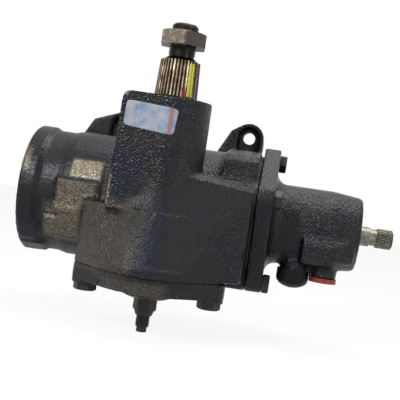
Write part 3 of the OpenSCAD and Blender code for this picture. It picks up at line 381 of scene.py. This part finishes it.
def surface(name, grid):
    """Mesh of a closed tube from a grid of points, rows along it and columns round it. Each end is drawn to
    a point."""
    rows, columns = grid.shape[:2]
    at = np.arange(rows * columns).reshape(rows, columns)
    beside = np.roll(at, -1, axis=1)
    quads = np.stack([at[:-1], beside[:-1], beside[1:], at[1:]], -1).reshape(-1, 4)
    mesh = bpy.data.meshes.new(name)
    mesh.from_pydata(grid.reshape(-1, 3), [], quads.tolist())
    closed = bmesh.new()
    closed.from_mesh(mesh)
    bmesh.ops.remove_doubles(closed, verts=closed.verts, dist=1e-4 * MM)
    bmesh.ops.recalc_face_normals(closed, faces=closed.faces)
    closed.to_mesh(mesh)
    closed.free()
    mesh.polygons.foreach_set("use_smooth", np.ones(len(mesh.polygons), bool))
    return mesh


def thread(name, low_mm, high_mm, core_mm, crest_mm, pitch_mm):
    """Screw thread about Z: the radius at a turn t and height z is the core plus the depth times a triangle
    wave of z / pitch - t, flattened at crest and root. The wave fades out over the first and last half
    pitch."""
    z = np.linspace(low_mm, high_mm, int((high_mm - low_mm) / pitch_mm * THREAD_ROWS) + 1)[:, None]
    t = np.linspace(0, 1, THREAD_COLUMNS, endpoint=False)[None, :]
    wave = np.abs(((z / pitch_mm - t) % 1) * 2 - 1)
    wave = np.clip(wave * 1.5 - 0.25, 0, 1)
    fade = np.clip(np.minimum(z - low_mm, high_mm - z) / (0.5 * pitch_mm), 0, 1)
    r = core_mm + (crest_mm - core_mm) * wave * fade
    grid = np.stack([r * np.cos(2 * np.pi * t), r * np.sin(2 * np.pi * t), z + 0 * t], -1)
    tip = np.repeat([[[0, 0, low_mm]], [[0, 0, high_mm]]], t.size, axis=1)
    return surface(name, np.concatenate([tip[:1], grid, tip[1:]]) * MM)


serrated, tree, _, where = new_material("oiled_ground_steel")
x, y, z = add(tree, "SeparateXYZ", {0: where}, out=None)
front = add(tree, "Math", {0: y, 1: -1.0}, operation="MULTIPLY")
turn = add(tree, "Math", {0: x, 1: front}, operation="ARCTAN2")
radius = add(tree, "VectorMath", {0: add(tree, "CombineXYZ", {0: x, 1: y})}, out="Value", operation="LENGTH")
level = add(tree, "Math", {0: z, 1: SERRATION_TAPER, 2: radius}, operation="MULTIPLY_ADD")
# Painted highlight on the crests, painted shade in the grooves
crest_highlight = add(tree, "MapRange", {"Value": level, "From Min": (SERRATION_TOP_MM - SERRATION_HIGHLIGHT_MM) * MM,
                               "From Max": SERRATION_TOP_MM * MM}, interpolation_type="SMOOTHSTEP")
film = add(tree, "TexNoise", {"Vector": where, "Scale": 1 / (7 * MM), "Detail": 4.0})
groove_shade = add(tree, "ValToRGB", {"Fac": film}, ramp=((0.35, "#120d0a"), (0.65, "#2b221a")))
crest_highlight_colour = add(tree, "ValToRGB", {"Fac": film}, ramp=((0.35, "#6b5a49"), (0.65, "#ad9a82")))
steel = add(tree, "Mix", {"Factor": crest_highlight, 6: groove_shade, 7: crest_highlight_colour}, out=2, data_type="RGBA")
stud = add(tree, "MapRange", {"Value": z, "From Min": STUD_MM[0] * MM, "From Max": STUD_MM[1] * MM})
steel = add(tree, "Mix", {"Factor": stud, 6: steel, 7: linear("#1f1c1b")}, out=2, data_type="RGBA")
drips = add(tree, "TexNoise", {"Vector": where, "Scale": 1 / (3 * MM)})
drips = add(tree, "Math", {0: drips, 1: 0.5}, operation="SUBTRACT")
wander = add(tree, "Math", {0: drips, 1: WANDER, 2: turn}, operation="MULTIPLY_ADD")
begin, end = STROKE_TURN
stroke = add(tree, "Math", {0: wander, 1: (begin + end) / 2, 2: (end - begin) / 2}, operation="COMPARE")
low, high = STROKE_MM
length = add(tree, "Math", {0: z, 1: (low + high) / 2 * MM, 2: (high - low) / 2 * MM}, operation="COMPARE")
paint = add(tree, "Math", {0: stroke, 1: length}, operation="MULTIPLY")
near, far = RUST_TURN
beside = add(tree, "Math", {0: wander, 1: (near + far) / 2, 2: (far - near) / 2}, operation="COMPARE")
foot = add(tree, "MapRange", {"Value": z, "From Min": RUST_MM[0] * MM, "From Max": RUST_MM[1] * MM})
rust = add(tree, "Math", {0: beside, 1: foot}, operation="MULTIPLY")
starts, full, fades, gone = SHADE_TURN
shade = add(tree, "MapRange", {"Value": wander, "From Min": starts, "From Max": full, "To Max": 0.9})
behind = add(tree, "MapRange", {"Value": wander, "From Min": gone, "From Max": fades})
shade = add(tree, "Math", {0: shade, 1: behind}, operation="MULTIPLY")
# Rust at the stroke's foot, then painted shade on the steel to its right
rust_and_shade = add(tree, "Mix", {"Factor": rust, 6: steel, 7: linear("#4a211c")}, out=2, data_type="RGBA")
rust_and_shade = add(tree, "Mix", {"Factor": shade, 6: rust_and_shade, 7: linear("#2d2329")}, out=2, data_type="RGBA")
marked = add(tree, "Mix", {"Factor": paint, 6: rust_and_shade, 7: linear("#aaa83a")}, out=2, data_type="RGBA")
finish(tree, Base_Color=marked,
       Metallic=add(tree, "MapRange", {"Value": paint, "To Min": 0.95, "To Max": 0.1}),
       Roughness=add(tree, "MapRange", {"Value": film, "To Min": 0.2, "To Max": 0.42}))
dress(serrated, "sector_shaft")
place("stud_thread", thread("stud_thread", low_mm=40.0, high_mm=67.8, core_mm=11.2, crest_mm=12.3,
                            pitch_mm=2.0),
      blackened, "sector", "shaft_steel")

# Nut of the steering arm: forged hexagon, screwed on the stud by hand.
# Phosphate gives it a dry, blotched khaki grey, and its right side is darkened with painted shade.
SHADE_SIDE_MM = (3, 5)  # X between which the painted shade sets in
phosphate, tree, shader, where = new_material("phosphated_steel")
shader.inputs["Metallic"].default_value = 0.2
shader.inputs["Specular IOR Level"].default_value = 0.25
bloom = add(tree, "TexNoise", {"Vector": where, "Scale": 1 / (3 * MM), "Detail": 4.0})
pits = add(tree, "TexNoise", {"Vector": where, "Scale": 1 / (1.5 * MM)})
khaki = add(tree, "ValToRGB", {"Fac": bloom}, ramp=((0.32, "#4e473d"), (0.55, "#665d51"), (0.72, "#857a69")))
side = add(tree, "SeparateXYZ", {0: where}, out="X")
shaded_side = add(tree, "MapRange", {"Value": side, "From Min": SHADE_SIDE_MM[0] * MM, "From Max": SHADE_SIDE_MM[1] * MM,
                              "To Max": 0.75})
khaki_and_shade = add(tree, "Mix", {"Factor": shaded_side, 6: khaki, 7: linear("#24211e")}, out=2, data_type="RGBA")
finish(tree, Base_Color=khaki_and_shade,
       Roughness=add(tree, "MapRange", {"Value": bloom, "To Min": 0.34, "To Max": 0.55}),
       Normal=add(tree, "Bump", {"Height": pits, "Strength": 0.3, "Distance": 0.3 * MM}))
dress(phosphate, "pitman_nut")

# Lash adjuster: a blackened set screw through the cover, which its locknut holds.
# Below the locknut its rolled thread, fine and sharp, stands in the open.
ADJUSTER_THREAD_MM = (5.5, 17.0)  # its heights over the adjuster's lower end
low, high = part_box("lash_adjuster")[0][2] / MM + np.array(ADJUSTER_THREAD_MM)
place("adjuster_thread", thread("adjuster_thread", low_mm=low, high_mm=high, core_mm=5.7, crest_mm=6.4,
                                pitch_mm=1.5),
      blackened, "gear_case", "dark_steel")

# Input shaft: ground steel with a serrated end for the column's clamp, in a bearing of the valve housing.
# Storage oil has stained it a pale khaki, and the grooves of its end are darkened with painted shade.
INPUT_SERRATED_MM = 206.1  # where the serrations start, along the worm's axis
INPUT_GROOVE_SHADE_MM = (9.35, 9.05)  # radii where the grooves' painted shade starts and is full
stained, tree, shader, where = new_material("stained_ground_steel")
shader.inputs["Metallic"].default_value = 0.95
haze = add(tree, "TexNoise", {"Vector": where, "Scale": 1 / (3.5 * MM), "Detail": 4.0})
metal = add(tree, "ValToRGB", {"Fac": haze}, ramp=((0.35, "#656259"), (0.55, "#7b786d"), (0.7, "#94907f")))
moved = add(tree, "VectorMath", {0: where, 1: [c * MM for c in WORM_AXIS[0]]}, operation="SUBTRACT")
x, y, z = add(tree, "SeparateXYZ", {0: moved}, out=None)
radius = add(tree, "VectorMath", {0: add(tree, "CombineXYZ", {1: y, 2: z})}, out="Value", operation="LENGTH")
# Painted shade in the grooves of the serrated end
deep = add(tree, "MapRange", {"Value": radius, "From Min": INPUT_GROOVE_SHADE_MM[0] * MM,
                              "From Max": INPUT_GROOVE_SHADE_MM[1] * MM})
tip = add(tree, "Math", {0: x, 1: INPUT_SERRATED_MM * MM}, operation="GREATER_THAN")
groove_shade = add(tree, "Math", {0: deep, 1: tip}, operation="MULTIPLY")
groove_shaded_metal = add(tree, "Mix", {"Factor": groove_shade, 6: metal, 7: linear("#25241f")}, out=2, data_type="RGBA")
finish(tree, Base_Color=groove_shaded_metal,
       Roughness=add(tree, "MapRange", {"Value": haze, "To Min": 0.28, "To Max": 0.5}))
dress(stained, "input_shaft", "input_shaft_pin")

# Working parts inside: piston, worm, valve sleeve, torsion bar and plug in ground steel under a film of oil.
# Grinding leaves fine rings round the worm's axis, drawn here about 6 mm apart so that they show.
ground, tree, shader, where = new_material("ground_steel")
shader.inputs["Metallic"].default_value = 1.0
rings = add(tree, "TexWave", {"Vector": where, "Scale": 1 / (20 * MM), "Distortion": 1.0, "Detail": 2.0},
            out="Fac", wave_type="BANDS", bands_direction="X")
oil = add(tree, "TexNoise", {"Vector": where, "Scale": 1 / (6 * MM)})
finish(tree, Base_Color=add(tree, "ValToRGB", {"Fac": rings}, ramp=((0.0, "#86847d"), (1.0, "#a9a79f"))),
       Roughness=add(tree, "MapRange", {"Value": oil, "To Min": 0.22, "To Max": 0.38}))
dress(ground, "rack_piston", "worm", "piston_end_plug", "torsion_bar", "valve_sleeve")

# Rolling parts, races, pins, spring rings and the balls' return guide: hardened steel, pressed or sprung in.
# Lapping leaves it bright, with only a faint bloom.


def mottled(name, noise_mm, colours, roughness, **settings):
    """A material whose colour and roughness follow one noise, each between two values. settings are more
    inputs of its surface shader, named with an underscore for each space."""
    material, tree, shader, where = new_material(name)
    for key, value in settings.items():
        shader.inputs[key.replace("_", " ")].default_value = value
    noise = add(tree, "TexNoise", {"Vector": where, "Scale": 1 / (noise_mm * MM)})
    finish(tree, Base_Color=add(tree, "ValToRGB", {"Fac": noise}, ramp=tuple(zip((0.3, 0.7), colours))),
           Roughness=add(tree, "MapRange", {"Value": noise, "To Min": roughness[0], "To Max": roughness[1]}))
    return material


bright = mottled("bright_hardened_steel", 4, ("#a3a39f", "#c4c4bf"), (0.15, 0.3), Metallic=1.0)
dress(bright, "sector_bearing_cup", "sector_bearing_needles", "nut_balls", "worm_bearing_inner",
      "worm_bearing_outer", "worm_bearing_balls", "worm_race_nut", "sleeve_drive_pin", "torsion_bar_pin",
      "input_bearing", "adjuster_retainer", "ball_return_guide", "ball_guide_clamp", "ball_guide_screws",
      "end_plug_ring", "sector_seal_ring", "input_seal_ring")

# Seals: moulded nitrile rubber, pressed into their bores or laid in grooves.
# The rubber is black and slightly dusty.
nitrile = mottled("nitrile_rubber", 2.5, ("#141415", "#2a2927"), (0.5, 0.75))
dress(nitrile, "sector_cover_oring", "valve_housing_oring", "end_plug_oring", "sector_shaft_seal",
      "sector_dust_seal", "input_shaft_seal")

# Sliding rings of the piston and the valve: turned from filled fluoropolymer and snapped into their grooves.
# It looks brown-grey and waxy, with fine flecks.
filled = mottled("filled_fluoropolymer", 0.8, ("#3d382f", "#62594b"), (0.35, 0.5))
dress(filled, "piston_ring", "valve_sleeve_rings")

# Bush and port seats: turned bronze, pressed into the cover and the ports.
# Oil has tarnished it unevenly to a dull gold.
bronze = mottled("turned_bronze", 3, ("#8c6c38", "#b9975a"), (0.25, 0.45), Metallic=1.0)
dress(bronze, "sector_cover_bush", "port_seats")

# Pressure port's shipping plug: red polyethylene, injection moulded, pushed into the port.
# It is dark and waxy, and light goes a little way into it.
red = mottled("red_polyethylene", 6, ("#5e180f", "#7a2416"), (0.32, 0.48),
              Subsurface_Weight=0.1, Subsurface_Radius=(3 * MM, 1 * MM, 1 * MM))
dress(red, "pressure_port_plug")

# Return port's shipping cap: soft black polyethylene, moulded, pushed over the port's boss.
# It is the blackest piece, with a weak, wide shine.
soft_black = mottled("black_polyethylene", 5, ("#070708", "#0e0e10"), (0.36, 0.55), Specular_IOR_Level=0.15)
dress(soft_black, "return_port_cap")

# Sticker on the boss: a blank foil label with rounded corners, rubbed on over the enamel.
# Its foil breaks the light into pale blue and lilac, and a strip near its right end is tinted red.
STRIP_MM, STRIP_HALF_MM = 3.4, (3.0, 0.6)  # middle, and half widths where its tint starts and is full
STICKER_CORNERS_MM = ((-37.4, -8.0), (9.4, -10.8), (7.4, -34.4), (-38.2, -30.6))  # X and Z, from the top left
BOSS_R_MM, BOSS_FRONT_MM, BOSS_SQUARE_MM = 34.5, 33.8, 5  # the boss is square up to this X, then round
STICKER_LIFT_MM = (0.45, -0.4)  # its face over the boss, its back inside the enamel
STICKER_ROWS, STICKER_COLUMNS = 26, 192  # of its face's mesh, outwards and round it


def sticker(name):
    """Thin sheet on the boss. A ray at angle a and share s runs from the sheet's middle to a superellipse of
    the tenth power, u = s cos(a) ** 0.2 and v = s sin(a) ** 0.2 with their signs. (u, v) is spread bilinearly
    between the four corners in X and Z, and Y is the boss's face there: flat where it is square, a cylinder
    where it is round. The last two rows go down behind the rim and back to the middle, so that the sheet is
    closed."""
    s = np.append(np.linspace(0, 1, STICKER_ROWS), [1.0, 0.0])[:, None]
    face, back = STICKER_LIFT_MM
    lift = np.append(np.full(STICKER_ROWS, face), [back, back])[:, None]
    a = np.linspace(0, 2 * np.pi, STICKER_COLUMNS, endpoint=False)[None, :]
    u = s * np.sign(np.cos(a)) * np.abs(np.cos(a)) ** 0.2
    v = s * np.sign(np.sin(a)) * np.abs(np.sin(a)) ** 0.2
    right, down = (u[..., None] + 1) / 2, (1 - v[..., None]) / 2
    tl, tr, br, bl = np.array(STICKER_CORNERS_MM)
    top, bottom = tl * (1 - right) + tr * right, bl * (1 - right) + br * right
    x, z = np.moveaxis(top * (1 - down) + bottom * down, -1, 0)
    front = np.sqrt(np.maximum(BOSS_R_MM ** 2 - x ** 2, 0))
    front = np.where(x < BOSS_SQUARE_MM, np.maximum(front, BOSS_FRONT_MM), front)
    return surface(name, np.stack([x, -front - lift, z], -1) * MM)


foil, tree, shader, where = new_material("blank_foil_label")
shader.inputs["Metallic"].default_value = 0.15
across = add(tree, "SeparateXYZ", {0: where}, out="X")
sheen = add(tree, "TexNoise", {"Vector": where, "Scale": 1 / (9 * MM), "Detail": 2.0})
crumple = add(tree, "TexNoise", {"Vector": where, "Scale": 1 / (2 * MM), "Detail": 3.0})
pale = add(tree, "ValToRGB", {"Fac": sheen}, ramp=((0.34, "#64758e"), (0.5, "#808894"), (0.66, "#8d8a93")))
creased = add(tree, "MapRange", {"Value": crumple, "From Min": 0.5, "From Max": 0.75, "To Max": 0.6})
pale = add(tree, "Mix", {"Factor": creased, 6: pale, 7: linear("#5f6b80")}, out=2, data_type="RGBA")
aside = add(tree, "Math", {0: across, 1: STRIP_MM * MM}, operation="SUBTRACT")
aside = add(tree, "Math", {0: aside}, operation="ABSOLUTE")
strip = add(tree, "MapRange", {"Value": aside, "From Min": STRIP_HALF_MM[0] * MM,
                               "From Max": STRIP_HALF_MM[1] * MM})
tinted = add(tree, "Mix", {"Factor": strip, 6: pale, 7: linear("#7d5c5b")}, out=2, data_type="RGBA")
finish(tree, Base_Color=tinted,
       Roughness=add(tree, "MapRange", {"Value": sheen, "To Min": 0.3, "To Max": 0.5}))
place("blank_sticker", sticker("blank_sticker"), foil, "gear_case", "bearing_steel")

# Studio: a pale floor under the adjuster, a white surround, a small key lamp that wakes the glints, a wide
# lamp above and a weak one at the right.
# The camera stands where the photograph was taken, a little to the right and turned 8.5 degrees.
CAMERA_MM = np.array([103.856, -773.742, -70.987])
AZIMUTH, ELEVATION, ROLL = np.radians([5.0, 1.2, 8.496])
LENS_MM, SENSOR_MM = 76.5, 36.0
ahead = np.array([-np.sin(AZIMUTH) * np.cos(ELEVATION), np.cos(AZIMUTH) * np.cos(ELEVATION),
                  -np.sin(ELEVATION)])
level = np.array([np.cos(AZIMUTH), np.sin(AZIMUTH), 0.0])
upright = np.cross(level, ahead)
stance = np.eye(4)
stance[:3, 0] = np.cos(ROLL) * level + np.sin(ROLL) * upright
stance[:3, 1] = -np.sin(ROLL) * level + np.cos(ROLL) * upright
stance[:3, 2] = -ahead
stance[:3, 3] = CAMERA_MM * MM
lens = bpy.data.cameras.new("camera")
lens.lens, lens.sensor_width = LENS_MM, SENSOR_MM
camera = bpy.data.objects.new("camera", lens)
camera.matrix_world = Matrix(stance.tolist())
bpy.context.collection.objects.link(camera)
scene = bpy.context.scene
scene.camera = camera
scene.view_settings.view_transform = "Standard"


def seeing_rays(tree):
    """1 for rays that the eye, mirrors or glass send out, and 0 for the light that falls on things."""
    path = add(tree, "LightPath", {}, out=None)
    seen = add(tree, "Math", {0: path["Is Camera Ray"], 1: path["Is Glossy Ray"]}, operation="MAXIMUM")
    return add(tree, "Math", {0: seen, 1: path["Is Transmission Ray"]}, operation="MAXIMUM")


FLOOR_HALF_M = 3.0
FLOOR_WHITE = 0.9  # share of plain white that the eye and mirrors see; the rest keeps the shadow
white, tree, shader, _ = new_material("white_floor")
shader.inputs["Base Color"].default_value = linear("#f2f2f2")
shader.inputs["Roughness"].default_value = 0.9
glow = add(tree, "Emission", {"Color": (1, 1, 1, 1), "Strength": 1.0})
share = add(tree, "Math", {0: seeing_rays(tree), 1: FLOOR_WHITE}, operation="MULTIPLY")
both = add(tree, "MixShader", {0: share, 1: shader.outputs[0], 2: glow})
tree.links.new(both, tree.nodes["Material Output"].inputs["Surface"])
floor_z = cad_box[0][2]
corners = FLOOR_HALF_M * np.array([(-1, -1), (1, -1), (1, 1), (-1, 1)])
floor_mesh = bpy.data.meshes.new("floor")
floor_mesh.from_pydata(np.column_stack([corners, np.full(4, floor_z)]), [], [(0, 1, 2, 3)])
floor_mesh.materials.append(white)
floor = bpy.data.objects.new("floor", floor_mesh)
bpy.context.collection.objects.link(floor)

SURROUND_LIGHT = 0.32  # strength for the object; the eye, mirrors and glass see 1, white
surround = bpy.data.worlds.new("surround")
surround.use_nodes = True
tree = surround.node_tree
strength = add(tree, "MapRange", {"Value": seeing_rays(tree), "To Min": SURROUND_LIGHT, "To Max": 1.0})
tree.links.new(strength, tree.nodes["Background"].inputs["Strength"])
tree.nodes["Background"].inputs["Color"].default_value = (1, 1, 1, 1)
scene.world = surround

# Lamps: name, place in metres, watts and width in metres; all of them face one target on the gearbox
LAMPS = (("key", (-0.55, -0.9, 0.55), 12.0, 0.12),
         ("top", (0.15, 0.15, 0.95), 10.0, 0.7),
         ("fill", (0.9, -0.7, 0.2), 2.3, 0.15))
target = Vector((0.03, 0.03, -0.08))
for name, spot, energy, size in LAMPS:
    lamp = bpy.data.lights.new(name, "AREA")
    lamp.energy, lamp.size = energy, size
    holder = bpy.data.objects.new(name, lamp)
    holder.location = spot
    holder.rotation_euler = (target - Vector(spot)).to_track_quat("-Z", "Y").to_euler()
    bpy.context.collection.objects.link(holder)

bpy.context.view_layer.update()
